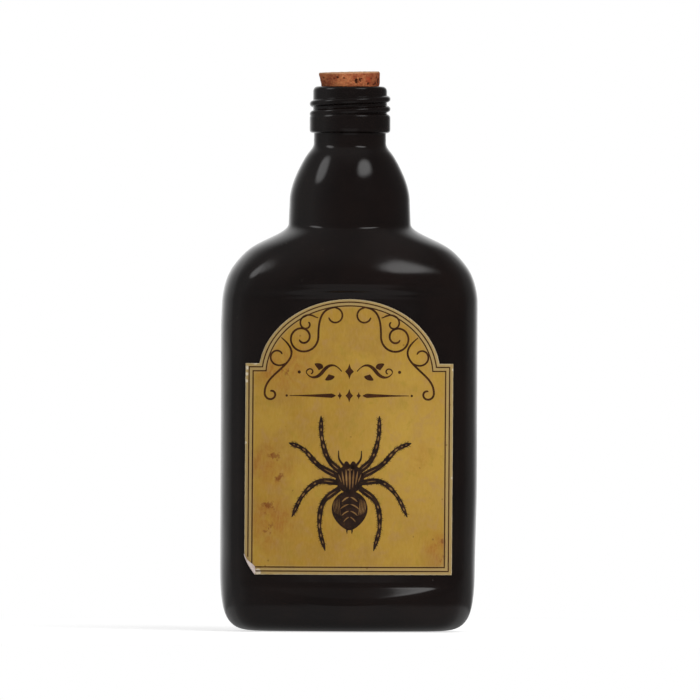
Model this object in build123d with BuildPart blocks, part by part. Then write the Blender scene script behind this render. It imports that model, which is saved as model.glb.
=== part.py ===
from build123d import *

import math
import os

os.makedirs("parts", exist_ok=True)

# Glass flask with a flattened front and back, a round bulb neck, a screw finish, a tapered
# cork and a paper label. Millimetres, +Z up, origin at the centre of the foot, label on -Y.

# Body in plan: a wide front arc, tight corners and a shallow side arc, all tangent
body_width = 87.0
body_depth = 61.0
corner_radius = 14.0
front_half_angle = 26.6
side_half_angle = 24.7
wall = 2.8

# Body in height
heel_height = 17.0
body_straight = 94.5
shoulder_height = 27.0
heel_radius = 10.5
foot_inset = 1.0
floor_thickness = 3.4
push_up = 2.6
foot_land = 3.0

# Label panel: a flatter cylinder let into the front and the back
panel_radius = 108.0
panel_recess = 3.4
panel_run_out = 0.3
panel_ledge = 5.5
panel_foot = 10.8
panel_height = 108.0

# Neck and screw finish
bulb_radius = 20.5
bulb_top_radius = 20.2
bulb_straight = 7.0
bulb_height = 28.4
throat_radius = 12.0
throat_height = 2.8
collar_radius = 13.55
collar_height = 6.2
collar_round = 0.9
finish_radius = 12.45
finish_height = 9.2
lip_round = 0.8
mouth_round = 0.3

# Thread ridge on the finish, right-handed
thread_pitch = 3.4
thread_turns = 1.65
thread_depth = 1.15
thread_root_width = 2.4
thread_crest_width = 1.0
thread_drop = 9.05
thread_start_angle = -175.0
thread_run_out = 40.0

# Cork stopper
cork_top_diameter = 20.5
cork_length = 27.0
cork_taper = 0.153
cork_above_lip = 5.1
cork_chamfer = 0.5
cork_clearance = 0.05
cork_tip_gap = 1.0

# Paper label: a rectangle under an elliptical arch, with one lower corner folded over
label_width = 70.8
label_side_height = 72.0
label_arch_half_width = 31.3
label_arch_height = 26.1
label_arch_drop = 4.2
label_lift = 3.0
label_thickness = 0.15
ear_height = 7.4
ear_width = 3.6

overrun = 2.0
root_bite = 0.4

# Shoulder sections: height, width, depth and corner radius, each as a share of the way from
# the body to the bulb neck
shoulder_shares = (
    (0.0, 0.0, 0.0, 0.0),
    (0.075, 0.01, 0.0, 0.0),
    (0.295, 0.07, 0.0, 0.08),
    (0.425, 0.15, 0.07, 0.25),
    (0.545, 0.25, 0.23, 0.46),
    (0.645, 0.38, 0.425, 0.65),
    (0.75, 0.57, 0.65, 0.85),
    (0.85, 0.835, 0.86, 1.0),
    (0.925, 0.95, 0.955, 1.0),
    (1.0, 1.0, 1.0, 1.0),
)
heel_shares = ((0.0, 1.0), (0.5, 0.25), (1.0, 0.0))
push_up_shares = ((0.0, 0.0), (0.55, 0.2), (1.0, 0.55))
bulb_shares = ((0.43, 0.23), (0.68, 0.57))
shoulder_drop_share = 0.7
thread_sections = 24

# Sizes worked out from the ones above
half_width = body_width / 2
half_depth = body_depth / 2
shoulder_z = heel_height + body_straight
neck_z = shoulder_z + shoulder_height
throat_z = neck_z + bulb_height
collar_z = throat_z + throat_height
finish_z = collar_z + collar_height
lip_z = finish_z + finish_height
floor_z = push_up + floor_thickness
panel_y = half_depth - panel_recess
label_z = panel_foot + panel_ledge + label_lift
cork_top_z = lip_z + cork_above_lip
cork_tip_z = cork_top_z - cork_length
cork_top_radius = cork_top_diameter / 2


def cork_radius(z):
    return cork_top_radius - (cork_top_z - z) * cork_taper / 2


def oval_face(z, across, deep, corner):
    """A face inside an oval of eight tangent arcs; across and deep are half its width and depth."""
    front = math.radians(front_half_angle)
    side = math.radians(side_half_angle)
    width_left = across + corner * (math.sin(front) - math.cos(side))
    depth_left = deep + corner * (math.sin(side) - math.cos(front))
    front_gap = 1 - math.cos(front)
    side_gap = 1 - math.cos(side)
    scale = math.sin(front) * math.sin(side) - front_gap * side_gap
    front_r = (width_left * math.sin(side) - depth_left * side_gap) / scale
    side_r = (depth_left * math.sin(front) - width_left * front_gap) / scale
    corner_x = (front_r - corner) * math.sin(front)
    corner_y = (side_r - corner) * math.sin(side)
    turn = 90 - front_half_angle - side_half_angle
    front_turn = 2 * front_half_angle
    side_turn = 2 * side_half_angle
    arcs = []
    for centre, radius, start, size in (
        ((0, front_r - deep), front_r, 270 - front_half_angle, front_turn),
        ((corner_x, -corner_y), corner, 270 + front_half_angle, turn),
        ((across - side_r, 0), side_r, -side_half_angle, side_turn),
        ((corner_x, corner_y), corner, side_half_angle, turn),
        ((0, deep - front_r), front_r, 90 - front_half_angle, front_turn),
        ((-corner_x, corner_y), corner, 90 + front_half_angle, turn),
        ((side_r - across, 0), side_r, 180 - side_half_angle, side_turn),
        ((-corner_x, -corner_y), corner, 180 + side_half_angle, turn),
    ):
        arcs.append(CenterArc(centre, radius, start, size, mode=Mode.PRIVATE))
    return Face(Wire(arcs)).moved(Location((0, 0, z)))


def shoulder_faces(inset, drop):
    """Sections from the body to the neck, moved in by inset and down by drop."""
    faces = []
    for up, narrow, thin, rounder in shoulder_shares:
        across = half_width + (bulb_radius - half_width) * narrow - inset
        deep = half_depth + (bulb_radius - half_depth) * thin - inset
        corner = corner_radius + (bulb_radius - corner_radius) * rounder - inset
        faces.append(oval_face(shoulder_z + shoulder_height * up - drop, across, deep, corner))
    return faces


def panel_ring(inset):
    """The space outside the front panel's cylinder, with an S-shaped ledge at each end."""
    axis_y = panel_radius - panel_y
    flat_y = inset - panel_y
    ledge_y = flat_y - panel_recess - panel_run_out
    middle_y = (flat_y + ledge_y) / 2
    outer_y = ledge_y - overrun
    top_z = panel_foot + panel_height
    half_ledge = panel_ledge / 2
    with BuildPart() as ring:
        with BuildSketch(Plane.YZ):
            with BuildLine():
                Line((flat_y, panel_foot + panel_ledge), (flat_y, top_z - panel_ledge))
                upper = TangentArc(
                    (flat_y, top_z - panel_ledge), (middle_y, top_z - half_ledge), tangent=(0, 1)
                )
                TangentArc((middle_y, top_z - half_ledge), (ledge_y, top_z), tangent=upper % 1)
                Polyline(
                    (ledge_y, top_z),
                    (outer_y, top_z),
                    (outer_y, panel_foot),
                    (ledge_y, panel_foot),
                )
                lower = TangentArc(
                    (ledge_y, panel_foot), (middle_y, panel_foot + half_ledge), tangent=(0, 1)
                )
                TangentArc(
                    (middle_y, panel_foot + half_ledge),
                    (flat_y, panel_foot + panel_ledge),
                    tangent=lower % 1,
                )
            make_face()
        revolve(axis=Axis((0, axis_y, 0), (0, 0, 1)))
    return ring.part


def neck_curve(low_radius, low_z, high_radius, high_z):
    """The bulb's flank, from a vertical start to a vertical end."""
    points = [(low_radius, low_z)]
    for up, narrow in bulb_shares:
        points.append(
            (low_radius + (high_radius - low_radius) * narrow, low_z + (high_z - low_z) * up)
        )
    points.append((high_radius, high_z))
    return Spline(*points, tangents=((0, 1), (0, 1)))


def paper_shell(lift):
    """A shell as thick as the paper, lift away from the front panel's cylinder."""
    axis_y = panel_radius - panel_y
    tall = label_side_height + label_arch_height
    low = (Align.CENTER, Align.CENTER, Align.MIN)
    with BuildPart() as shell:
        with Locations((0, axis_y, label_z)):
            Cylinder(panel_radius + lift + label_thickness, tall, align=low)
            Cylinder(panel_radius + lift, tall, align=low, mode=Mode.SUBTRACT)
    return shell.part


# The hollow inside the glass, made first and cut out of the bottle
with BuildPart() as hollow:
    inner_corner = corner_radius - wall
    loft(
        sections=[
            oval_face(floor_z, half_width - wall, half_depth - wall, inner_corner),
            oval_face(shoulder_z - wall * shoulder_drop_share, half_width - wall,
                      half_depth - wall, inner_corner),
        ],
        ruled=True,
    )
    fillet(hollow.faces().sort_by(Axis.Z)[0].edges(), heel_radius - wall)
    loft(sections=shoulder_faces(wall, wall * shoulder_drop_share))
    inner_panel = panel_ring(wall)
    add(inner_panel, mode=Mode.SUBTRACT)
    add(inner_panel.mirror(Plane.XZ), mode=Mode.SUBTRACT)
    with BuildSketch(Plane.XZ):
        with BuildLine():
            low_z = neck_z - wall * shoulder_drop_share
            bulb_end_z = neck_z + bulb_straight
            tip_z = cork_tip_z - cork_tip_gap
            tip_r = cork_radius(tip_z) + cork_clearance
            Polyline((bulb_top_radius - wall, bulb_end_z), (bulb_radius - wall, low_z), (0, low_z))
            Polyline((0, low_z), (0, lip_z + overrun))
            Polyline(
                (0, lip_z + overrun),
                (cork_radius(lip_z + overrun) + cork_clearance, lip_z + overrun),
                (tip_r, tip_z),
            )
            neck_curve(bulb_top_radius - wall, bulb_end_z, tip_r, tip_z)
        make_face()
    revolve(axis=Axis.Z)

# Neck, collar and finish, with the thread on it
with BuildPart() as neck:
    with BuildSketch(Plane.XZ):
        with BuildLine():
            Polyline((0, lip_z), (0, neck_z), (bulb_radius, neck_z))
            Line((bulb_radius, neck_z), (bulb_top_radius, neck_z + bulb_straight))
            neck_curve(bulb_top_radius, neck_z + bulb_straight, throat_radius, throat_z)
            Polyline(
                (throat_radius, throat_z),
                (throat_radius, collar_z),
                (collar_radius, collar_z),
                (collar_radius, finish_z),
                (finish_radius, finish_z),
                (finish_radius, lip_z),
                (0, lip_z),
            )
        make_face()
    revolve(axis=Axis.Z)
    collar_edges = neck.edges().filter_by(GeomType.CIRCLE).filter_by(
        lambda edge: abs(edge.radius - collar_radius) < root_bite / 2
    )
    fillet(collar_edges, collar_round)
    lip_edges = neck.edges().filter_by(GeomType.CIRCLE).sort_by(Axis.Z)[-1]
    fillet(lip_edges, lip_round)

    # Thread: a ridge that swells out of the finish, runs round and sinks back into it
    ridge_faces = []
    for i in range(thread_sections + 1):
        turned = 360 * thread_turns * i / thread_sections
        to_end = min(turned, 360 * thread_turns - turned)
        swell = math.sin(math.radians(90 * min(1, to_end / thread_run_out)))
        angle = thread_start_angle + turned
        z = lip_z - thread_drop + thread_pitch * turned / 360
        place = Plane(
            origin=(0, 0, z),
            x_dir=(math.cos(math.radians(angle)), math.sin(math.radians(angle)), 0),
            z_dir=(math.sin(math.radians(angle)), -math.cos(math.radians(angle)), 0),
        )
        inside_r = finish_radius - root_bite
        crest_r = finish_radius + thread_depth * swell - root_bite / 2 * (1 - swell)
        with BuildSketch(place) as ridge:
            with BuildLine():
                Polyline(
                    (inside_r, -thread_root_width / 2),
                    (crest_r, -thread_crest_width / 2),
                    (crest_r, thread_crest_width / 2),
                    (inside_r, thread_root_width / 2),
                    close=True,
                )
            make_face()
        ridge_faces.append(ridge.sketch.face())
    loft(sections=ridge_faces)

with BuildPart() as bottle:
    # Heel and straight body
    heel_faces = []
    for up, inward in heel_shares:
        step = foot_inset * inward
        heel_faces.append(
            oval_face(heel_height * up, half_width - step, half_depth - step, corner_radius - step)
        )
    loft(sections=heel_faces)
    fillet(bottle.faces().sort_by(Axis.Z)[0].edges(), heel_radius)
    extrude(oval_face(heel_height, half_width, half_depth, corner_radius), amount=body_straight)

    # Shoulder
    loft(sections=shoulder_faces(0, 0))

    # Front and back label panels
    outer_panel = panel_ring(0)
    add(outer_panel, mode=Mode.SUBTRACT)
    add(outer_panel.mirror(Plane.XZ), mode=Mode.SUBTRACT)

    # Neck, hollow, mouth rounding and the push-up under the foot
    add(neck.part)
    add(hollow.part, mode=Mode.SUBTRACT)
    mouth_edges = bottle.edges().filter_by(GeomType.CIRCLE).group_by(Axis.Z)[-1]
    fillet(mouth_edges.sort_by(SortBy.RADIUS)[0], mouth_round)
    foot_in = foot_inset + heel_radius + foot_land
    dome_faces = []
    for up, narrow in push_up_shares:
        dome_width = (half_width - foot_in) * (1 - narrow)
        dome_depth = (half_depth - foot_in) * (1 - narrow)
        dome_faces.append(oval_face(push_up * up, dome_width, dome_depth, dome_depth / 2))
    loft(sections=dome_faces, mode=Mode.SUBTRACT)

with BuildPart() as cork_stopper:
    with BuildSketch(Plane.XZ):
        with BuildLine():
            Polyline(
                (0, cork_tip_z),
                (cork_radius(cork_tip_z), cork_tip_z),
                (cork_top_radius, cork_top_z),
                (0, cork_top_z),
                close=True,
            )
        make_face()
    revolve(axis=Axis.Z)
    chamfer(cork_stopper.edges().filter_by(GeomType.CIRCLE), cork_chamfer)

with BuildPart() as front_label:
    # The paper's outline seen from the front, with the corner cut along the fold
    left_x = -label_width / 2
    arch_z = label_z + label_side_height - label_arch_drop
    fold_low = (left_x + ear_width, label_z)
    fold_high = (left_x, label_z + ear_height)
    with BuildSketch(Plane.XZ):
        with Locations((0, label_z + label_side_height / 2)):
            Rectangle(label_width, label_side_height)
        with Locations((0, arch_z)):
            Ellipse(label_arch_half_width, label_arch_height)
        with BuildLine():
            Polyline((left_x, label_z), fold_low, fold_high, close=True)
        make_face(mode=Mode.SUBTRACT)
    extrude(amount=half_depth)
    add(paper_shell(0), mode=Mode.INTERSECT)

with BuildPart() as folded_ear:
    # The corner turned over the fold, lying on the paper
    fold_square = ear_width**2 + ear_height**2
    ear_tip = (
        left_x + 2 * ear_width * ear_height**2 / fold_square,
        label_z + 2 * ear_width**2 * ear_height / fold_square,
    )
    with BuildSketch(Plane.XZ):
        with BuildLine():
            Polyline(fold_low, ear_tip, fold_high, close=True)
        make_face()
    extrude(amount=half_depth)
    add(paper_shell(label_thickness), mode=Mode.INTERSECT)

with front_label:
    add(folded_ear.part)

bottle.part.label = "bottle"
cork_stopper.part.label = "cork_stopper"
front_label.part.label = "front_label"
export_step(bottle.part, "parts/bottle.step")
export_step(cork_stopper.part, "parts/cork_stopper.step")
export_step(front_label.part, "parts/front_label.step")
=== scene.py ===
import math

import bmesh
import bpy
import numpy as np
from mathutils import Matrix, Vector, noise


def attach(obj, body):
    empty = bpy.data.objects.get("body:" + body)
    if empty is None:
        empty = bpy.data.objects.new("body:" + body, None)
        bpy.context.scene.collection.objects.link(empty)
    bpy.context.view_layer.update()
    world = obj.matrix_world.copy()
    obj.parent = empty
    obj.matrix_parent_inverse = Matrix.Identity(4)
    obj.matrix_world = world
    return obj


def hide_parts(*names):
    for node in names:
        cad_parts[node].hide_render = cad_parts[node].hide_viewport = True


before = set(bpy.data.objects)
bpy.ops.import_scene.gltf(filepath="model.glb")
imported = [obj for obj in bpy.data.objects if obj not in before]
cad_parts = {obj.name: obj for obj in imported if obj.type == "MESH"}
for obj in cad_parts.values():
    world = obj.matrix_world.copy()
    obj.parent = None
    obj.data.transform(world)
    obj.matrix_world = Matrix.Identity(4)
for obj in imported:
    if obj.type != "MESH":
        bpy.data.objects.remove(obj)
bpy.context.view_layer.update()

# Lengths are in millimetres, as in the CAD model. Only the scales and depths in the materials,
# and the floor and the lamps, are in metres.
MM = 0.001

# Body, in plan and in height
HALF_WIDTH = 43.5
HALF_DEPTH = 30.5
CORNER = 14.0
# How far the flatter curves reach to either side of straight ahead and aside, in degrees
FRONT_ANGLE = 26.6
SIDE_ANGLE = 24.7
WALL = 2.8
SEAM_RISE = 0.08
SEAM_HALF = 0.8
# The right side draws in towards the heel, and the left shoulder sits closer in
RIGHT_IN = 0.62
RIGHT_IN_Z = 52.0
RIGHT_IN_REACH = 34.0
LEFT_IN = 0.45
LEFT_IN_Z = 102.0
LEFT_IN_REACH = 14.0
LEFT_IN_END = 4.0
# The heel sweeps in under the foot, from higher up at the sides than at the front and back
HEEL_SIDE_Z = 22.0
HEEL_FRONT_Z = 11.6
HEEL_REACH = 16.0
HEEL_PULL = 4.1
HEEL_CORNER = 0.75
FOOT_LAND = 3.0
FOOT_RIB = 0.16
PUSH_UP = 2.6
DOME_FLAT = 0.45
FLOOR_Z = 6.0
INNER_ROUND = 7.7
SHOULDER_Z = 111.5
SHOULDER_HEIGHT = 27.0
SHOULDER_DROP = 1.96
# Shares of the way from body to neck: heights, and the width and corner radius there
WIDTH_UPS = (0.0, 0.2, 0.4, 0.6, 0.72, 0.84, 0.92, 1.0)
WIDTH_SHARES = (0.0, 0.0303, 0.1187, 0.3033, 0.481, 0.765, 0.935, 1.0)
CORNER_UPS = (0.0, 0.3, 0.55, 0.7, 0.82, 0.92, 1.0)
CORNER_SHARES = (0.0, 0.085, 0.47, 0.76, 0.95, 0.995, 1.0)
# Heights, and how steeply the shoulder's front leans back there
LEAN_UPS = (0.0, 0.13, 0.27, 0.40, 0.575, 0.65, 0.925, 0.955, 0.985, 1.0)
LEANS = (0.0, 0.02, 0.18, 0.43, 0.56, 0.585, 0.585, 0.3, 0.02, 0.0)

# Panel for the label, a flatter cylinder let into the front and the back
PANEL_RADIUS = 108.0
PANEL_AXIS_Y = 80.9
PANEL_LOW = 15.6
PANEL_HIGH = 118.0
PANEL_BLEND = 1.8
LEDGE_LOW_SLOPE = 0.585
LEDGE_LOW_ROUND = 0.5
LEDGE_LOW_BLEND = 1.0
LEDGE_LOW_REACH = 5.0
LEDGE_HIGH = 5.0
LEDGE_HIGH_RISE = 3.45
LEDGE_HIGH_FLARE = 0.08

# Neck and finish
NECK_Z = 138.5
BULB_RADIUS = 20.6
BULB_TOP_RADIUS = 20.3
BULB_TOP_Z = 145.5
BULB_UPS = (0.0, 0.3037, 0.5841, 0.72, 0.8, 0.86, 0.91, 1.0)
BULB_SHARES = (0.0, 0.133, 0.448, 0.645, 0.79, 0.914, 0.984, 1.0)
THROAT_RADIUS = 12.15
THROAT_Z = 166.9
THROAT_ROUND = 0.3
COLLAR_Z = 169.25
COLLAR_RADIUS = 13.62
COLLAR_FOOT_ROUND = 1.1
COLLAR_ROUND = 1.6
COLLAR_SEAM = 0.06
FINISH_Z = 175.9
FINISH_RADIUS = 12.5
FINISH_SEAM = 0.05
LIP_Z = 185.1
LIP_ROUND = 1.5
MOUTH_EDGE = 10.55
MOUTH_ROUND = 0.3
THREAD_PITCH = 3.4
THREAD_TURN = 634.0
THREAD_START = -215.0
THREAD_START_Z = 175.42
THREAD_DEPTH = 1.15
THREAD_BEAD = 1.12
THREAD_FILLET = 0.8
THREAD_RUN_OUT = 40.0
THREAD_START_BLEND = 0.2

# Up to these heights the rings of the body lie this far apart
BODY_STEPS = ((112.4, 3.0), (123.2, 0.36), (135.1, 0.55), (NECK_Z, 0.24))
HOLLOW_FINE_Z = 17.5

# Cork
CORK_TOP_Z = 190.2
CORK_TIP_Z = 163.2
CORK_TOP_RADIUS = 10.25
CORK_TAPER = 0.0765
CORK_CLEARANCE = 0.05
CORK_FLARE = 0.17
CORK_COLUMNS = 208
# How far the cork's side is drawn in below the lip
CORK_INSET = 0.05
CORK_LEAN = 0.18
CORK_ROUGH = 0.05
CORK_END_ROUGH = 0.08
# Slope of the cut top towards the right and the back, level at this y
CORK_SLOPES = (0.024, 0.026)
CORK_LEVEL_Y = 9.0
# Depth from which a pore is quite dark
DARK_PORE = 0.3
BORE_END_Z = CORK_TIP_Z - 1.0

# Label
LABEL_Z = 19.3
LABEL_HALF = 35.2
LABEL_LEAN = 0.0035
LABEL_MID_Z = 55.0
LABEL_SIDE_TOP = 90.9
ARCH_Z = 87.1
ARCH_HALF = 30.85
ARCH_HEIGHT = 25.6
ARCH_MEAN = 27.0
PAPER = 0.15
WAVE_HEIGHT = 0.05
WAVE_SCALE = 0.07
RAGGED = 0.08
TOP_WOBBLE = 0.06
EAR_WIDTH = 3.8
EAR_HEIGHT = 7.3
EAR_ROLL = 0.24
# Where the folded corner's edge lies on the label, from the top of the fold to its foot
EAR_EDGE = ((-34.9, 25.3), (-34.2, 24.3), (-32.9, 23.2), (-32.1, 22.6), (-31.5, 21.7),
            (-31.4, 20.6), (-31.45, 19.5))
# Distances in from the cut edge at which the paper has a row or column of points
EDGE_STEPS = (0.0, 0.12, 0.3, 0.6, 1.1, 1.8, 2.8, 4.0)

# Printing
INK = 0.03
PALE_INK = 0.055
INK_DEPTH = 0.04
BORDER_WIDTH = 0.42
BORDER_FOLD_GAP = 0.45
# How far in from the edge each line lies, and how far down from the top of the arch
BORDER_INSETS = ((1.2, 0.98), (2.55, 2.25))
RULES_Z = (88.2, 80.0)
SPIDER_X = 0.4


# Small tools

def hermite(xs, ys, slopes, at):
    """The cubic through the points with these slopes."""
    i = np.clip(np.searchsorted(xs, at) - 1, 0, len(xs) - 2)
    step = xs[i + 1] - xs[i]
    t = np.clip((at - xs[i]) / step, 0, 1)
    return (ys[i] * (1 + 2 * t) * (1 - t) ** 2 + step * slopes[i] * t * (1 - t) ** 2
            + ys[i + 1] * t * t * (3 - 2 * t) + step * slopes[i + 1] * t * t * (t - 1))


def monotone_through(xs, ys, at):
    """A cubic through the points that never overshoots, level at both ends."""
    xs, ys = np.array(xs), np.array(ys)
    rise = np.diff(ys) / np.diff(xs)
    same = rise[:-1] * rise[1:] > 0
    both = np.where(same, rise[:-1] + rise[1:], 1.0)
    slopes = np.zeros(len(xs))
    slopes[1:-1] = np.where(same, 2 * rise[:-1] * rise[1:] / both, 0.0)
    return hermite(xs, ys, slopes, at)


def spline_through(xs, ys, at):
    """A cubic through the points with no jump in curvature, level at both ends."""
    xs, ys = np.array(xs), np.array(ys)
    step = np.diff(xs)
    rise = np.diff(ys) / step
    rows, known = np.eye(len(xs)), np.zeros(len(xs))
    for i in range(1, len(xs) - 1):
        before, after = 1 / step[i - 1], 1 / step[i]
        rows[i, i - 1:i + 2] = before, 2 * (before + after), after
        known[i] = 3 * (rise[i - 1] * before + rise[i] * after)
    return hermite(xs, ys, np.linalg.solve(rows, known), at)


def sweep(a, b, c, d, count=16, at=None):
    """A cubic Bezier curve, at even shares or at the shares given."""
    t = (np.linspace(0, 1, count) if at is None else at)[:, None]
    a, b, c, d = (np.array(p, float) for p in (a, b, c, d))
    points = a * (1 - t) ** 3 + 3 * b * t * (1 - t) ** 2 + 3 * c * t * t * (1 - t) + d * t**3
    return [tuple(p) for p in points]


def through(points, count=10):
    """A smooth line through points."""
    points = [np.array(p, float) for p in points]
    ends = [2 * points[0] - points[1]] + points + [2 * points[-1] - points[-2]]
    line = []
    for p0, p1, p2, p3 in zip(ends, ends[1:], ends[2:], ends[3:]):
        for t in np.linspace(0, 1, count, endpoint=False):
            line.append(tuple(0.5 * (2 * p1 + (p2 - p0) * t + (2 * p0 - 5 * p1 + 4 * p2 - p3) * t**2
                                     + (3 * p1 - p0 - 3 * p2 + p3) * t**3)))
    return line + [tuple(points[-1])]


def arc(centre_r, centre_z, radius, start, end, count):
    angles = np.radians(np.linspace(start, end, count))
    return [(centre_r + radius * math.cos(a), centre_z + radius * math.sin(a)) for a in angles]


def steps(low, high, gap):
    return list(np.linspace(low, high, max(2, round(abs(high - low) / gap) + 1)))


def smooth_min(a, b, k):
    h = np.clip(0.5 + 0.5 * (b - a) / k, 0, 1)
    return b + (a - b) * h - k * h * (1 - h)


def ease(t):
    t = np.clip(t, 0, 1)
    return t * t * (3 - 2 * t)


def add_object(name, data):
    thing = bpy.data.objects.new(name, data)
    bpy.context.scene.collection.objects.link(thing)
    return thing


def make_piece(name, verts, faces, slot, materials, body="bottle", stands_for=None, smooth=True,
               material_of=None, marks=None):
    """A mesh piece on a body; marks are named values for every point, which a material reads."""
    mesh = bpy.data.meshes.new(name)
    mesh.from_pydata((np.asarray(verts, float) * MM).tolist(), [], faces)
    for material in materials:
        mesh.materials.append(material)
    mesh.polygons.foreach_set("use_smooth", [smooth] * len(mesh.polygons))
    if material_of is not None:
        mesh.polygons.foreach_set("material_index", material_of)
    outward = bmesh.new()
    outward.from_mesh(mesh)
    bmesh.ops.recalc_face_normals(outward, faces=outward.faces)
    outward.to_mesh(mesh)
    outward.free()
    for mark, values in (marks or {}).items():
        attribute = mesh.attributes.new(mark, "FLOAT", "POINT")
        attribute.data.foreach_set("value", np.array(values, np.float32))
    piece = add_object(name, mesh)
    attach(piece, body)
    if stands_for:
        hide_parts(stands_for)


def rings_to_mesh(rings, low_centre, high_centre):
    """Vertices and faces of a closed skin through the rings, with a fan at each end."""
    count = len(rings[0])
    verts = np.vstack([np.vstack(rings), [low_centre], [high_centre]])
    low, high = len(verts) - 2, len(verts) - 1
    last = (len(rings) - 1) * count
    faces = []
    for a in range(0, last, count):
        for j in range(count):
            k = (j + 1) % count
            faces.append((a + j, a + k, a + count + k, a + count + j))
    for j in range(count):
        k = (j + 1) % count
        faces.append((low, k, j))
        faces.append((high, last + j, last + k))
    return verts, faces


# Materials

PREFIX = "ShaderNode"


class Nodes:
    """A short way to write a node tree."""

    def __init__(self, tree):
        self.tree = tree
        tree.nodes.clear()

    def new(self, kind, inputs=None, **settings):
        node = self.tree.nodes.new(PREFIX + kind)
        for key, value in settings.items():
            setattr(node, key, value)
        for key, value in (inputs or {}).items():
            self.plug(value, node.inputs[key])
        return node

    def plug(self, value, socket):
        if isinstance(value, bpy.types.NodeSocket):
            self.tree.links.new(value, socket)
        else:
            socket.default_value = value

    def math(self, operation, a, b=0.0, clamp=False):
        return self.new("Math", {0: a, 1: b}, operation=operation,
                        use_clamp=clamp).outputs[0]

    def vector(self, operation, a, b=(0.0, 0.0, 0.0)):
        return self.new("VectorMath", {0: a, 1: b}, operation=operation).outputs["Value"]

    def attribute(self, name):
        return self.new("Attribute", attribute_name=name).outputs["Fac"]

    def noise(self, place, scale, detail=3.0, roughness=0.5, distortion=0.0):
        return self.new("TexNoise", {
            "Vector": place, "Scale": scale, "Detail": detail, "Roughness": roughness,
            "Distortion": distortion,
        }).outputs["Fac"]

    def cells(self, place, scale):
        return self.new("TexVoronoi", {"Vector": place, "Scale": scale}
                        ).outputs["Distance"]

    def span(self, value, low, high, to_low=0.0, to_high=1.0):
        """The value, eased from one range into another."""
        return self.new("MapRange", {
            "Value": value, "From Min": low, "From Max": high, "To Min": to_low,
            "To Max": to_high,
        }, interpolation_type="SMOOTHSTEP").outputs["Result"]

    def mix(self, factor, a, b, blend="MIX"):
        node = self.new("Mix", data_type="RGBA", blend_type=blend)
        for value, socket in ((factor, 0), (a, 6), (b, 7)):
            self.plug(value, node.inputs[socket])
        return node.outputs[2]

    def tint(self, tone, where, over, amount=1.0):
        """The tone with another colour over it where the mask is high."""
        if amount < 1.0:
            where = self.math("MULTIPLY", where, amount)
        return self.mix(where, tone, colour(*over))

    def either(self, factor, a, b):
        return self.new("MixShader", {0: factor, 1: a, 2: b}).outputs[0]

    def stretch(self, place, scale, turn=(0.0, 0.0, 0.0)):
        return self.new("Mapping", {
            "Vector": place, "Scale": scale, "Rotation": turn,
        }).outputs[0]

    def spot(self, place, centre, inner, outer):
        """1 near a point in millimetres, falling to 0 at the outer radius."""
        away = self.vector("DISTANCE", place, [c * MM for c in centre])
        return self.span(away, inner * MM, outer * MM, 1.0, 0.0)

    def spots(self, place, inner, *spots):
        """The highest of several spots; each is a centre's x, y and z and an outer radius."""
        most = 0.0
        for *centre, outer in spots:
            most = self.math("MAXIMUM", most, self.spot(place, centre, inner, outer))
        return most

    def specks(self, place, scale, inner, outer, patches, rarity):
        """Small round specks that lie only in scattered patches."""
        speck = self.span(self.cells(place, scale), inner, outer, 1.0, 0.0)
        some = self.math("GREATER_THAN", self.noise(place, patches, 1.0), rarity)
        return self.math("MULTIPLY", speck, some)


def colour(red, green, blue):
    """A colour written as in a picture editor, 0 to 255, as the shader wants it."""
    linear = []
    for c in (red, green, blue):
        c = c / 255
        linear.append(c / 12.92 if c <= 0.04045 else ((c + 0.055) / 1.055) ** 2.4)
    return (*linear, 1.0)


def new_material(name):
    material = bpy.data.materials.new(name)
    material.use_nodes = True
    nodes = Nodes(material.node_tree)
    return material, nodes, nodes.new("TexCoord").outputs["Object"]


def finish_material(nodes, tone, rough, specular, *bumps):
    """Bumps lie over each other; each is a height and its depth in metres."""
    shader = nodes.new("BsdfPrincipled", {
        "Base Color": tone, "Roughness": rough, "IOR": 1.5, "Specular IOR Level": specular,
    })
    normal = None
    for height, depth in bumps:
        bump = nodes.new("Bump", {"Height": height, "Distance": depth, "Strength": 1.0})
        if normal:
            nodes.plug(normal, bump.inputs["Normal"])
        normal = bump.outputs[0]
    nodes.plug(normal, shader.inputs["Normal"])
    nodes.new("OutputMaterial", {"Surface": shader.outputs[0]})


def black_glass():
    """Very dark brown glass, polished, a shade lighter where dust lies on it."""
    material, nodes, place = new_material("black_glass")
    film = nodes.noise(place, 55.0, 3.0, 0.55)
    speck = nodes.specks(place, 420.0, 0.05, 0.09, 260.0, 0.66)
    tone = nodes.mix(nodes.span(film, 0.35, 0.7), colour(19, 13, 12), colour(25, 17, 15))
    tone = nodes.tint(tone, speck, (120, 116, 110), 0.22)
    # Faint smears, short fine scratches and dust
    smear = nodes.noise(nodes.stretch(place, (22.0, 22.0, 60.0), (0.2, 0.5, 0.3)), 1.0, 5.0, 0.6)
    scratch = nodes.noise(nodes.stretch(place, (40.0, 40.0, 2600.0), (0.4, 0.9, 0.2)), 1.0, 2.0)
    rough = nodes.span(smear, 0.35, 0.75, 0.085, 0.15)
    for mask, more in ((nodes.span(scratch, 0.70, 0.76), 0.05), (speck, 0.3),
                       (nodes.noise(place, 900.0, 4.0, 0.6), 0.01)):
        rough = nodes.math("ADD", rough, nodes.math("MULTIPLY", mask, more))
    # Moulded glass is never quite even: slow swells, and a skin a little like orange peel
    swell, peel = nodes.noise(place, 45.0, 2.0, 0.4), nodes.noise(place, 320.0, 2.0, 0.5)
    finish_material(nodes, tone, rough, 0.5, (swell, 0.0003), (peel, 0.000012), (speck, 0.00003))
    return material


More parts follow.
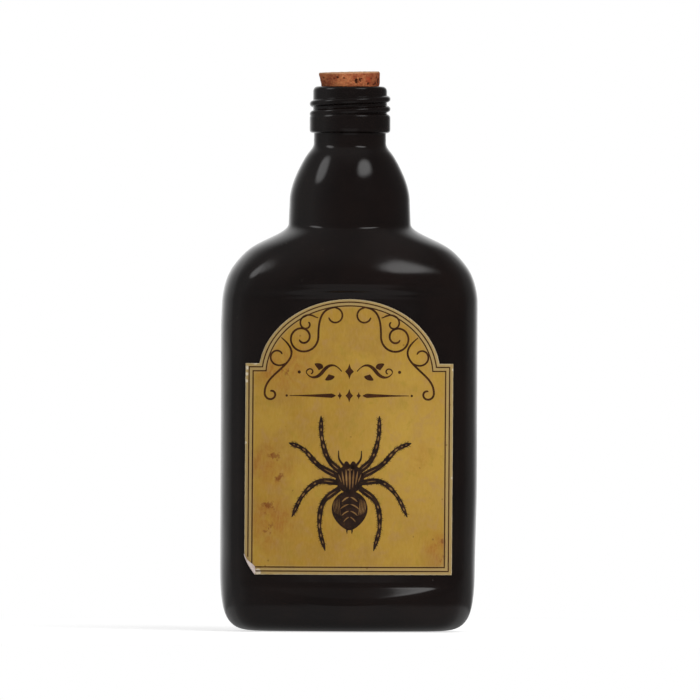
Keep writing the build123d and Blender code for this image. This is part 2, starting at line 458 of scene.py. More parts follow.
def aged_paper():
    material, nodes, place = new_material("aged_paper")
    edge = nodes.attribute("edge_mm")
    cloud = nodes.noise(place, 38.0, 4.0, 0.55, 0.4)
    patch = nodes.noise(place, 120.0, 5.0, 0.6)
    along_fibre = nodes.stretch(place, (1500.0, 1500.0, 520.0), (0.0, 0.5, 0.0))
    fibre = nodes.noise(along_fibre, 1.0, 4.0, 0.65)
    tone = nodes.mix(nodes.span(cloud, 0.3, 0.7), colour(175, 131, 43), colour(189, 149, 60))
    tone = nodes.tint(tone, nodes.span(patch, 0.38, 0.72), (172, 132, 58))
    # Painted light: the right half is painted lighter, as if more brightly lit from the right
    tone = nodes.tint(tone, nodes.spot(place, (26.0, -24.0, 61.0), 8.0, 40.0), (208, 168, 76), 0.45)
    # Faint pinkish and greenish clouds all over
    mottle = nodes.noise(place, 230.0, 3.0, 0.6, 0.5)
    tone = nodes.tint(tone, nodes.span(mottle, 0.5, 0.75, 0.0, 0.5), (178, 136, 84))
    tone = nodes.tint(tone, nodes.span(mottle, 0.46, 0.28, 0.0, 0.35), (158, 134, 40))
    # Water stains in brown-orange, and a faint one at the right
    stain = nodes.spots(place, 2.0, (-21.0, -25.2, 90.0, 14.0), (-26.0, -24.1, 56.0, 11.0),
                        (-26.0, -24.1, 36.5, 13.0), (30.5, -22.8, 27.5, 8.0))
    faint = nodes.math("MULTIPLY", nodes.spot(place, (24.0, -24.5, 59.0), 1.0, 8.0), 0.42)
    stain = nodes.math("MAXIMUM", stain, faint)
    broken = nodes.noise(place, 150.0, 5.0, 0.62, 0.8)
    wash = nodes.math("MULTIPLY", stain, nodes.span(broken, 0.34, 0.6))
    tone = nodes.tint(tone, wash, (168, 106, 40), 0.7)
    deep = nodes.math("MULTIPLY", stain, nodes.span(broken, 0.55, 0.68))
    tone = nodes.tint(tone, deep, (146, 82, 32), 0.55)
    # Dark crumbs in the stains
    crumbs = nodes.span(nodes.noise(place, 520.0, 4.0, 0.65), 0.36, 0.64)
    for *centre, reach in ((-26.9, -23.7, 42.4, 4.2), (-27.3, -23.6, 35.2, 3.4),
                           (-25.2, -24.2, 59.8, 3.4), (-23.6, -24.6, 52.5, 2.6),
                           (-21.5, -25.2, 88.0, 2.6), (31.9, -22.4, 25.0, 2.1),
                           (32.2, -22.3, 31.0, 1.6)):
        spot = nodes.math("ADD", nodes.spot(place, centre, 0.3, reach), crumbs)
        tone = nodes.tint(tone, nodes.span(spot, 1.0, 1.7), (128, 64, 24), 0.85)
    # The margin outside the printed lines has gone grey, and the paper is paler towards the cut edge
    tone = nodes.tint(tone, nodes.span(edge, 1.6, 3.6, 1.0, 0.0), (176, 152, 104), 0.8)
    pale_edge = nodes.math("ADD", edge, nodes.math("MULTIPLY", nodes.noise(place, 700.0, 3.0, 0.7), 0.7))
    tone = nodes.tint(tone, nodes.span(pale_edge, 0.38, 0.72, 1.0, 0.0), (206, 196, 170), 0.6)
    # Torn beside the folded corner and along the edges, where the paper's pale core shows
    torn = nodes.spots(place, 0.3, (-31.8, -22.6, 91.2, 1.1), (-34.5, -21.6, 89.4, 0.95),
                       (-34.7, -21.5, 87.3, 0.8), (-34.8, -21.5, 84.9, 0.75),
                       (-35.0, -21.4, 64.0, 0.55), (35.2, -21.4, 52.2, 0.6),
                       (35.3, -21.3, 88.9, 0.6))
    corner = nodes.spot(place, (-30.7, -22.8, 20.2), 0.8, 1.3)
    tone = nodes.tint(tone, nodes.math("MAXIMUM", torn, corner), (226, 214, 192))
    # Fibres and foxing
    tone = nodes.tint(tone, nodes.span(fibre, 0.3, 0.75), (206, 172, 90), 0.22)
    foxing = nodes.specks(place, 330.0, 0.06, 0.16, 170.0, 0.62)
    tone = nodes.tint(tone, foxing, (112, 76, 34), 0.55)
    finish_material(nodes, tone, nodes.span(cloud, 0.3, 0.7, 0.62, 0.78), 0.25,
                    (fibre, 0.00002), (patch, 0.00012))
    return material


def paper_back():
    material, nodes, place = new_material("paper_back")
    cloud = nodes.noise(place, 420.0, 4.0, 0.6)
    tone = nodes.mix(nodes.span(cloud, 0.3, 0.7), colour(214, 194, 188), colour(240, 228, 222))
    finish_material(nodes, tone, nodes.span(cloud, 0.3, 0.7, 0.7, 0.85), 0.2,
                    (nodes.noise(place, 1800.0, 3.0), 0.00003))
    return material


def ink(name, dark, light, fade):
    """Printing ink, worn through to the paper in fine grains."""
    material, nodes, place = new_material(name)
    cloud = nodes.noise(place, 260.0, 4.0, 0.6)
    grain = nodes.noise(place, 2300.0, 3.0, 0.6)
    tone = nodes.mix(nodes.span(cloud, 0.35, 0.68), colour(*dark), colour(*light))
    tone = nodes.tint(tone, nodes.span(grain, 0.56, 0.8, 0.0, fade), (150, 112, 48))
    finish_material(nodes, tone, nodes.span(grain, 0.3, 0.7, 0.5, 0.7), 0.25, (grain, 0.00001))
    return material


def cork_bark():
    material, nodes, place = new_material("cork")
    cloud = nodes.noise(place, 210.0, 4.0, 0.55, 0.6)
    along_grain = nodes.stretch(place, (900.0, 900.0, 2100.0), (0.3, 0.2, 0.0))
    grain = nodes.noise(along_grain, 1.0, 5.0, 0.65)
    cells = nodes.cells(place, 1700.0)
    tone = nodes.mix(nodes.span(cloud, 0.34, 0.68), colour(152, 76, 48), colour(198, 118, 76))
    tone = nodes.tint(tone, nodes.span(grain, 0.42, 0.75, 0.0, 0.65), (206, 142, 88))
    tone = nodes.tint(tone, nodes.span(grain, 0.44, 0.26, 0.0, 0.6), (112, 50, 28))
    # Reddish patches, a knot, light flecks, and painted shade over the right side
    red = nodes.span(nodes.noise(place, 330.0, 2.0), 0.6, 0.74)
    tone = nodes.tint(tone, red, (136, 52, 34), 0.6)
    tone = nodes.tint(tone, nodes.spot(place, (6.2, -7.9, 187.2), 0.5, 1.7), (176, 66, 36), 0.6)
    fleck = nodes.span(nodes.noise(place, 1150.0, 2.0, 0.6), 0.6, 0.72)
    tone = nodes.tint(tone, fleck, (224, 176, 128), 0.3)
    # Painted shade: the right side is darkened as if it lay in shadow
    tone = nodes.tint(tone, nodes.spot(place, (9.5, -4.5, 187.5), 1.0, 8.0), (112, 50, 28), 0.62)
    tone = nodes.mix(1.0, tone, nodes.span(cells, 0.0, 0.6, 0.8, 1.1), "MULTIPLY")
    # The cut end and its rim are painted paler, a painted highlight, and the pits are dark
    tone = nodes.tint(tone, nodes.attribute("cut_end"), (226, 184, 142), 0.75)
    tone = nodes.tint(tone, nodes.attribute("pit"), (52, 22, 14), 0.88)
    finish_material(nodes, tone, nodes.span(grain, 0.3, 0.7, 0.75, 0.9), 0.2,
                    (grain, 0.00012), (cells, 0.00005))
    return material


# Glass

def column_angles():
    """Directions of the outward normal, close together at the corners and at the two seams."""
    corner_end = 90 - FRONT_ANGLE
    quarter = np.concatenate([(0.0, 0.35, 0.8, 1.6), np.linspace(3.2, SIDE_ANGLE, 11),
                              np.linspace(SIDE_ANGLE, corner_end, 22)[1:],
                              np.linspace(corner_end, 90.0, 17)[1:-1]])
    half = np.concatenate([quarter, [90.0], 180 - quarter[:0:-1]])
    return np.radians(np.concatenate([half, half + 180]))


TURN = column_angles()
SEAM = np.maximum(0, 1 - np.abs(np.degrees(np.arcsin(np.sin(TURN)))) / SEAM_HALF)
UPS = np.linspace(0, 1, 541)
DEPTH_SHARES = np.cumsum(monotone_through(LEAN_UPS, LEANS, UPS))
DEPTH_SHARES = (DEPTH_SHARES - DEPTH_SHARES[0]) / (DEPTH_SHARES[-1] - DEPTH_SHARES[0])


def oval(across, deep, corner):
    """Points of the oval whose outward normals point along the angles in TURN."""
    a, g = math.radians(FRONT_ANGLE), math.radians(SIDE_ANGLE)
    front_gap, side_gap = 1 - math.cos(a), 1 - math.cos(g)
    wide = across + corner * (math.sin(a) - math.cos(g))
    thick = deep + corner * (math.sin(g) - math.cos(a))
    scale = math.sin(a) * math.sin(g) - front_gap * side_gap
    front_r = (wide * math.sin(g) - thick * side_gap) / scale
    side_r = (thick * math.sin(a) - wide * front_gap) / scale
    aside, ahead = np.abs(np.cos(TURN)), np.abs(np.sin(TURN))
    side, front = ahead <= math.sin(g), aside <= math.sin(a)
    x = np.where(front, front_r * aside, (front_r - corner) * math.sin(a) + corner * aside)
    x = np.where(side, across - side_r + side_r * aside, x)
    y = np.where(side, side_r * ahead, (side_r - corner) * math.sin(g) + corner * ahead)
    y = np.where(front, deep - front_r + front_r * ahead, y)
    return x * np.sign(np.cos(TURN)), y * np.sign(np.sin(TURN))


def body_size(inset):
    """Half width, half depth and corner radius of the body, drawn in all round."""
    return [full - inset for full in (HALF_WIDTH, HALF_DEPTH, CORNER)]


def shoulder_size(z, inset=0.0, drop=0.0):
    up = (z + drop - SHOULDER_Z) / SHOULDER_HEIGHT
    shares = (spline_through(WIDTH_UPS, WIDTH_SHARES, up), np.interp(up, UPS, DEPTH_SHARES),
              min(spline_through(CORNER_UPS, CORNER_SHARES, up), 1))
    return [full + (BULB_RADIUS - full) * share - inset
            for full, share in zip(body_size(0), shares)]


def ledge_rise(z):
    """How far the panel's cylinder has come out towards the body at a height."""
    low = -smooth_min(LEDGE_LOW_SLOPE * (z - PANEL_LOW), 0.0, LEDGE_LOW_ROUND)
    high = LEDGE_HIGH_RISE * ease(1 - (PANEL_HIGH - z) / LEDGE_HIGH)
    return low + high + LEDGE_HIGH_FLARE * max(z - PANEL_HIGH, 0) ** 2


def with_panels(x, y, z, inset):
    radius = PANEL_RADIUS - inset + ledge_rise(z)
    panel = np.sqrt(np.maximum(radius**2 - x**2, 0)) - PANEL_AXIS_Y
    blend = PANEL_BLEND * (0.9 + (x / LABEL_HALF) ** 2)
    blend = LEDGE_LOW_BLEND + (blend - LEDGE_LOW_BLEND) * ease((z - PANEL_LOW) / LEDGE_LOW_REACH)
    return smooth_min(np.abs(y), panel, blend) * np.sign(y)


def ring(x, y, z):
    return np.column_stack([x, y, np.broadcast_to(z, len(x))])


def body_ring(z, size, inset=0.0, seam=0.0):
    x, y = oval(*size)
    y = with_panels(x, y, z, inset)
    x = x + seam * SEAM * np.sign(np.cos(TURN))
    x = x - RIGHT_IN * ease((RIGHT_IN_Z - z) / RIGHT_IN_REACH) * np.maximum(x, 0) / HALF_WIDTH
    closer = ease((z - LEFT_IN_Z) / LEFT_IN_REACH) * ease((NECK_Z - z) / LEFT_IN_END)
    return ring(x - LEFT_IN * closer * np.minimum(x, 0) / HALF_WIDTH, y, z)


def round_ring(radius, z, seam=0.0):
    radius = radius + seam * SEAM
    return ring(radius * np.cos(TURN), radius * np.sin(TURN), z)


def thread_rise(z):
    """Height of the thread's rounded ridge above the finish, for every column."""
    rise = np.zeros(len(TURN))
    begun = np.mod(np.degrees(TURN) - THREAD_START, 360)
    for turned in (begun, begun + 360):
        to_end = np.clip(np.minimum(turned, THREAD_TURN - turned), 0, THREAD_RUN_OUT)
        swell = np.sin(math.pi / 2 * to_end / THREAD_RUN_OUT)
        off = np.abs(z - THREAD_START_Z - THREAD_PITCH * turned / 360)
        bead = np.sqrt(np.maximum(THREAD_BEAD**2 - off**2, 0))
        bead = bead + THREAD_DEPTH - THREAD_BEAD - 4 * np.maximum(off - THREAD_BEAD, 0)
        rise = np.maximum(rise, swell * -smooth_min(-bead, 0.0, THREAD_FILLET))
    return rise


def bulb_radius(z, low_r, high_r, high_z):
    up = (z - BULB_TOP_Z) / (high_z - BULB_TOP_Z)
    return low_r + (high_r - low_r) * spline_through(BULB_UPS, BULB_SHARES, up)


def cork_radius(z, gap=0.0):
    return CORK_TOP_RADIUS - (CORK_TOP_Z - z) * CORK_TAPER + gap


def foot_rings():
    """The push-up from its middle outwards, then the bearing ring with ribs pressed across it."""
    foot_in = HEEL_REACH + FOOT_LAND
    dome_x, dome_y = HALF_WIDTH - foot_in, HALF_DEPTH - foot_in
    rings = []
    for s in np.linspace(0.1, 1.0, 10):
        t = max(0.0, (s - DOME_FLAT) / (1 - DOME_FLAT))
        rings.append(ring(*oval(dome_x * s, dome_y * s, dome_y / 2 * s), PUSH_UP * (1 - t * t)))
    ribs = FOOT_RIB * (np.arange(len(TURN)) % 2)
    for t, ribbed in ((0.06, 0), (0.14, 0), (0.2, 1), (0.8, 1), (0.86, 0), (1.0, 0)):
        corner = dome_y / 2 + (CORNER - HEEL_CORNER * HEEL_REACH - dome_y / 2) * t
        rings.append(ring(*oval(dome_x + FOOT_LAND * t, dome_y + FOOT_LAND * t, corner),
                          ribs * ribbed))
    return rings


def body_rings():
    """The heel, one long sweep from the foot up, then the body and the shoulder."""
    shares = np.concatenate([np.linspace(0.02, 0.72, 24), np.linspace(0.72, 1.0, 40)[1:]])
    side, front = (np.array(sweep((HEEL_REACH, 0), (HEEL_PULL, 0), (0, 0), (0, top), at=shares))
                   for top in (HEEL_SIDE_Z, HEEL_FRONT_Z))
    rings = []
    for inset, z in side:
        front_inset = np.interp(z, front[:, 1], front[:, 0])
        size = (HALF_WIDTH - inset, HALF_DEPTH - front_inset, CORNER - HEEL_CORNER * inset)
        rings.append(body_ring(z, size, seam=SEAM_RISE * ease((z - 2) / 4)))
    low = HEEL_SIDE_Z
    for high, gap in BODY_STEPS:
        rings += [body_ring(z, shoulder_size(z), seam=SEAM_RISE)
                  for z in steps(low, high, gap)[1:]]
        low = high
    return rings


def neck_rings():
    """Bulb, throat, collar and the finish with its thread."""
    bulb = [(BULB_RADIUS + (BULB_TOP_RADIUS - BULB_RADIUS) * (z - NECK_Z) / (BULB_TOP_Z - NECK_Z), z)
            for z in steps(NECK_Z, BULB_TOP_Z, 0.9)[1:]]
    bulb += [(bulb_radius(z, BULB_TOP_RADIUS, THROAT_RADIUS, THROAT_Z), z)
             for z in steps(BULB_TOP_Z, THROAT_Z, 0.55)[1:]]
    throat_end, foot_end = COLLAR_Z - THROAT_ROUND, COLLAR_Z + COLLAR_FOOT_ROUND
    collar_end = FINISH_Z - COLLAR_ROUND
    collar = [(THROAT_RADIUS, z) for z in steps(THROAT_Z, throat_end, 0.5)[1:]]
    collar += arc(THROAT_RADIUS + THROAT_ROUND, throat_end, THROAT_ROUND, 180, 90, 4)[1:]
    collar += arc(COLLAR_RADIUS - COLLAR_FOOT_ROUND, foot_end, COLLAR_FOOT_ROUND, -90, 0, 7)
    collar += [(COLLAR_RADIUS, z) for z in steps(foot_end, collar_end, 0.6)[1:-1]]
    # The thread starts out of the collar's rounded upper edge
    inner = COLLAR_RADIUS - COLLAR_ROUND
    last = math.degrees(math.acos((FINISH_RADIUS - inner) / COLLAR_ROUND))
    collar += [(-smooth_min(-radius, -FINISH_RADIUS - thread_rise(z), THREAD_START_BLEND), z)
               for radius, z in arc(inner, collar_end, COLLAR_ROUND, 0, last, 12)[:-1]]
    finish = [(FINISH_RADIUS + thread_rise(z), z)
              for z in steps(FINISH_Z + 0.02, LIP_Z - LIP_ROUND, 0.15)]
    return [round_ring(radius, z, seam)
            for part, seam in ((bulb, SEAM_RISE), (collar, COLLAR_SEAM), (finish, FINISH_SEAM))
            for radius, z in part]


def inside_rings():
    """Lip, mouth and bore, then the hollow of the bulb, the shoulder, the body and the heel."""
    mouth = cork_radius(LIP_Z, CORK_CLEARANCE)
    profile = arc(FINISH_RADIUS - LIP_ROUND, LIP_Z - LIP_ROUND, LIP_ROUND, 8, 90, 9)
    profile += [(MOUTH_EDGE, LIP_Z)]
    profile += arc(mouth + MOUTH_ROUND, LIP_Z - MOUTH_ROUND, MOUTH_ROUND, 90, 180, 5)
    profile += [(cork_radius(z, CORK_CLEARANCE), z)
                for z in steps(LIP_Z - MOUTH_ROUND, BORE_END_Z, 2.4)[1:]]
    bore_end = cork_radius(BORE_END_Z, CORK_CLEARANCE)
    profile += [(bulb_radius(z, BULB_TOP_RADIUS - WALL, bore_end, BORE_END_Z), z)
                for z in steps(BORE_END_Z, BULB_TOP_Z, 1.2)[1:]]
    profile += [(BULB_RADIUS - WALL - 0.15, (BULB_TOP_Z + NECK_Z) / 2)]
    rings = [round_ring(radius, z) for radius, z in profile]
    body_top, round_top = SHOULDER_Z - SHOULDER_DROP, FLOOR_Z + INNER_ROUND
    rings += [body_ring(z, shoulder_size(z, WALL, SHOULDER_DROP), WALL)
              for z in steps(NECK_Z - SHOULDER_DROP, body_top, 1.1)]
    rings += [body_ring(z, body_size(WALL), WALL)
              for z in (steps(body_top, HOLLOW_FINE_Z, 5.0)[1:]
                        + steps(HOLLOW_FINE_Z, round_top, 0.8)[1:])]
    rings += [body_ring(z, body_size(HALF_WIDTH - x), WALL)
              for x, z in arc(HALF_WIDTH - WALL - INNER_ROUND, round_top, INNER_ROUND, -6, -90, 9)]
    return rings + [ring(*oval(*(side * s for side in body_size(WALL + INNER_ROUND))), FLOOR_Z)
                    for s in (0.8, 0.55, 0.3, 0.1)]


flask = rings_to_mesh(foot_rings() + body_rings() + neck_rings() + inside_rings(),
                      (0, 0, PUSH_UP), (0, 0, FLOOR_Z))
make_piece("glass_flask", *flask, "black_glass", [black_glass()], stands_for="bottle")


# Cork

# Pores that the photo shows: angle, height, half width, half height, depth
PORES = ((-78.0, 186.9, 0.62, 1.0, 0.8), (-70.5, 187.4, 0.4, 0.75, 0.55),
         (-18.0, 187.0, 1.0, 1.0, 0.7), (-101.0, 188.1, 0.5, 0.35, 0.35),
         (-27.0, 188.2, 0.5, 0.4, 0.45), (-31.0, 186.2, 0.6, 0.5, 0.4),
         (-44.0, 187.9, 0.3, 0.4, 0.3), (-52.0, 186.0, 0.5, 0.6, 0.4),
         (-140.0, 187.6, 0.35, 0.3, 0.3))
# The ranges that the others are drawn from, for the side, and by x and y for the cut end
SIDE_PORES = ((-180, 180), (164, 189.6), (0.18, 0.75), (0.12, 0.5), (0.12, 0.5))
END_PORES = ((-8.5, 8.5), (-8.5, 8.5), (0.25, 0.7), (0.12, 0.3), (0.1, 0.4))


def drawn_pores(pick, count, ranges):
    return [[pick.uniform(*limits) for limits in ranges] for _ in range(count)]


def sunk(pit, across, up, deep):
    """Depths with one more oval pore among them."""
    return np.maximum(pit, deep * np.maximum(1 - across**2 - up**2, 0) ** 0.6)


def cork_profile():
    """Radius, height and how much of the cut end, from the middle of the tip to the top's."""
    tip, top, edge = CORK_TIP_Z, CORK_TOP_Z, CORK_TOP_RADIUS
    profile = [(r, tip, 0.0) for r in np.linspace(0.8, 7.5, 12)]
    profile += [(7.85, tip + 0.06, 0.0), (cork_radius(tip + 0.4), tip + 0.4, 0.0)]
    profile += [(cork_radius(z), z, 0.0) for z in steps(tip + 0.7, top - 0.55, 0.27)]
    profile += [(edge - 0.1, top - 0.3, 0.4), (edge - 0.2, top - 0.12, 0.8),
                (edge - 0.36, top - 0.01, 1.0)]
    return profile + [(r, top, 1.0) for r in np.linspace(edge - 0.5, 0.6, 26)]


def cork_mesh():
    pick = np.random.RandomState(11)
    turn = np.linspace(0, 2 * math.pi, CORK_COLUMNS, endpoint=False)
    pores = list(PORES) + drawn_pores(pick, 150, SIDE_PORES)
    end_pores = drawn_pores(pick, 46, END_PORES)
    rings, pits, ends = [], [], []
    for radius, z, end in cork_profile():
        x, y = radius * np.cos(turn), radius * np.sin(turn)
        rough = np.array([noise.noise(Vector((a * 0.9, b * 0.9, z * 0.9))) for a, b in zip(x, y)])
        above = max(0.0, z - LIP_Z)
        out = ease(above / 1.5)
        pit = np.zeros(CORK_COLUMNS)
        if end == 1:
            for at_x, at_y, half_w, half_h, deep in end_pores:
                pit = sunk(pit, (x - at_x) / half_w, (y - at_y) / half_h, deep)
            swell, height = 0.0, z - pit + rough * CORK_END_ROUGH
        else:
            for angle, at_z, half_w, half_h, deep in pores if radius > 7.9 else ():
                away = np.radians((np.degrees(turn) - angle + 180) % 360 - 180)
                pit = sunk(pit, away * radius / half_w, (z - at_z) / half_h, deep)
            swell = -CORK_INSET * (1 - out) + rough * CORK_ROUGH * (0.4 + out) - pit
            height = z
        scale = 1 + (swell + CORK_FLARE * above / (CORK_TOP_Z - LIP_Z)) / radius
        lean = (CORK_LEAN - 0.1 * above) * out
        # The cut top rises to the right and leans a little towards the label's side
        tilt = CORK_SLOPES[0] * x + CORK_SLOPES[1] * (y - CORK_LEVEL_Y)
        tilt = tilt * ease((above - 1) / 3.5)
        rings.append(ring(x * scale + lean, y * scale, height + tilt))
        pits.append(np.clip(pit / DARK_PORE, 0, 1))
        ends.append(np.full(CORK_COLUMNS, end))
    mesh = rings_to_mesh(rings, (0, 0, CORK_TIP_Z), (-0.3, 0, CORK_TOP_Z))
    return mesh, {"pit": np.append(pits, (0, 0)), "cut_end": np.append(ends, (0, 1))}


bung, cork_marks = cork_mesh()
make_piece("cork_bung", *bung, "cork", [cork_bark()], body="cork", stands_for="cork_stopper",
           marks=cork_marks)


# Label

def on_panel(x, z, radius):
    """A point of the label at this distance from the axis of the panel."""
    x += LABEL_LEAN * (z - LABEL_MID_Z)
    return (x, PANEL_AXIS_Y - math.sqrt(radius**2 - x * x), z)


def on_paper(x, z, lift):
    """A point lift millimetres in front of the label's face, which waves slightly."""
    wave = noise.noise(Vector((x * WAVE_SCALE, z * WAVE_SCALE, 4.7))) * 0.5 + 0.5
    return on_panel(x, z, PANEL_RADIUS + PAPER + WAVE_HEIGHT * max(0.0, wave) + lift)


def ear_cut(z):
    """How far in from the left edge the fold lies at a height."""
    return EAR_WIDTH * float(np.clip(1 - (z - LABEL_Z) / EAR_HEIGHT, 0, 1)) ** 1.5


def edge_gap(x, z):
    """Distance in millimetres from the label's nearest edge, roughly."""
    gaps = [z - LABEL_Z, LABEL_HALF - abs(x)]
    if z > ARCH_Z:
        arch = (1 - math.hypot(x / ARCH_HALF, (z - ARCH_Z) / ARCH_HEIGHT)) * ARCH_MEAN
        gaps.append(max(arch, LABEL_SIDE_TOP - z))
    if z < LABEL_Z + EAR_HEIGHT:
        gaps.append((x + LABEL_HALF - ear_cut(z)) * 0.85 + 1.2)
    return max(0.0, min(gaps))


def label_grid():
    """Rows of (x, z) points up to the arch, the arch's own rows, and the columns in these."""
    inner = ARCH_HALF * math.sqrt(1 - ((LABEL_SIDE_TOP - ARCH_Z) / ARCH_HEIGHT) ** 2)
    middle = list(np.linspace(0.9 - inner, inner - 0.9, 50))
    outer = [side * (LABEL_HALF - s) for side in (1, -1) for s in EDGE_STEPS]
    xs = np.sort(middle + [-inner, inner] + [x for x in outer if abs(x) > middle[-1] + 0.2])
    zs = [LABEL_Z + s for s in EDGE_STEPS[:-1]]
    zs += list(np.linspace(LABEL_Z + EDGE_STEPS[-1], LABEL_SIDE_TOP - EDGE_STEPS[-1], 60))
    zs += [LABEL_SIDE_TOP - s for s in reversed(EDGE_STEPS[:-1])]
    left = np.clip((1.0 - inner - xs) / (LABEL_HALF - inner), 0, 1)
    right = np.clip((xs - inner) / (LABEL_HALF - inner), 0, 1)
    rows, arch_rows = [], []
    for z in zs:
        ragged = RAGGED * noise.noise(Vector((0.0, z * 1.3, 9.1)))
        rows.append([(x, z) for x in xs + left * (ear_cut(z) + ragged) + right * ragged * 0.7])
    wobble = TOP_WOBBLE * noise.noise(Vector((zs[-1], 2.2, 0.4)))
    rows[-1] = [(x, z + wobble) for x, z in rows[-1]]
    inside = [i for i, x in enumerate(xs) if abs(x) <= inner + 1e-6]
    first = math.asin((LABEL_SIDE_TOP - ARCH_Z) / ARCH_HEIGHT)
    for a in np.linspace(first, math.pi / 2, 40)[1:-1]:
        half = ARCH_HALF * math.cos(a) * (1 + 0.0022 * noise.noise(Vector((a * 17, 0.3, 5.5))))
        arch_rows.append([(xs[i] / inner * half, ARCH_Z + ARCH_HEIGHT * math.sin(a))
                          for i in inside])
    return rows, arch_rows, inside


def closed_sheet(front, count):
    """Front faces, the same again on points count places on, and a band round every free edge."""
    edges = dict.fromkeys((a, b) for face in front for a, b in zip(face, face[1:] + face[:1]))
    back = [tuple(count + i for i in reversed(face)) for face in front]
    return front + back + [(b, a, count + a, count + b) for a, b in edges if (b, a) not in edges]


def sheet_of_paper():
    rows, arch_rows, inside = label_grid()
    flat, index = [], {}
    for r, row in enumerate(rows + arch_rows):
        for c, point in zip(range(len(row)) if r < len(rows) else inside, row):
            index[r, c] = len(flat)
            flat.append(point)
    quads = []
    for r, c in index:
        corners = ((r, c), (r, c + 1), (r + 1, c + 1), (r + 1, c))
        if all(corner in index for corner in corners):
            quads.append(tuple(index[corner] for corner in corners))
    last, apex = len(rows) + len(arch_rows) - 1, len(flat)
    flat.append((0.0, ARCH_Z + ARCH_HEIGHT))
    quads += [(index[last, c], index[last, c + 1], apex) for c in inside[:-1]]
    verts = [on_paper(x, z, 0.0) for x, z in flat] + [on_panel(x, z, PANEL_RADIUS) for x, z in flat]
    return verts, closed_sheet(quads, len(flat)), [edge_gap(*p) for p in flat] + [0.0] * len(flat)


def folded_corner():
    """The lower left corner, rolled over the fold and pressed down in a sliver, back side out."""
    count = 19
    zs = np.linspace(LABEL_Z + EAR_HEIGHT * 0.96, LABEL_Z + 0.05, count)
    fold = np.array([(ear_cut(z) - LABEL_HALF, z) for z in zs])
    edge = np.array(through(EAR_EDGE, 3))
    run = np.append(0, np.cumsum(np.linalg.norm(np.diff(edge, axis=0), axis=1)))
    inward = np.column_stack([np.interp(np.linspace(0, run[-1], count), run, values)
                              for values in edge.T]) - fold
    outward = np.array([EAR_HEIGHT, EAR_WIDTH]) / math.hypot(EAR_WIDTH, EAR_HEIGHT)
    # Way out over the fold, height above the paper, share of the way to the corner's edge
    sections = [(-EAR_ROLL * math.sin(a), EAR_ROLL * (1 - math.cos(a)), 0.0)
                for a in np.linspace(0, math.pi, 9)]
    sections += [(0.0, 2 * EAR_ROLL + 0.12 * s * s, s) for s in np.linspace(0, 1, 7)[1:]]
    verts = []
    for depth in (0.0, PAPER * 0.8):
        for out, lift, share in sections:
            for k in range(count):
                x, z = fold[k] + outward * out + inward[k] * share
                buckle = 0.1 * math.sin(math.pi * k / (count - 1) * 2.5) ** 2 * (1 - share)
                verts.append(on_paper(x, z, max(0.02, lift + buckle - depth)))
    quads = [(a, a + 1, a + 1 + count, a + count) for a in range((len(sections) - 1) * count)
             if (a + 1) % count]
    return verts, closed_sheet(quads, len(sections) * count)


paper_verts, paper_faces, paper_gaps = sheet_of_paper()
ear_verts, ear_faces = folded_corner()
ear_faces = [tuple(len(paper_verts) + i for i in face) for face in ear_faces]
make_piece("label_paper", paper_verts + ear_verts, paper_faces + ear_faces, "aged_paper",
           [aged_paper(), paper_back()], stands_for="front_label",
           material_of=[0] * len(paper_faces) + [1] * len(ear_faces),
           marks={"edge_mm": paper_gaps + [2.0] * len(ear_verts)})


# Printing

def unit(v):
    return v / np.maximum(np.linalg.norm(v, axis=-1, keepdims=True), 1e-9)


def square_to(v):
    return np.stack([-v[..., 1], v[..., 0]], axis=-1)


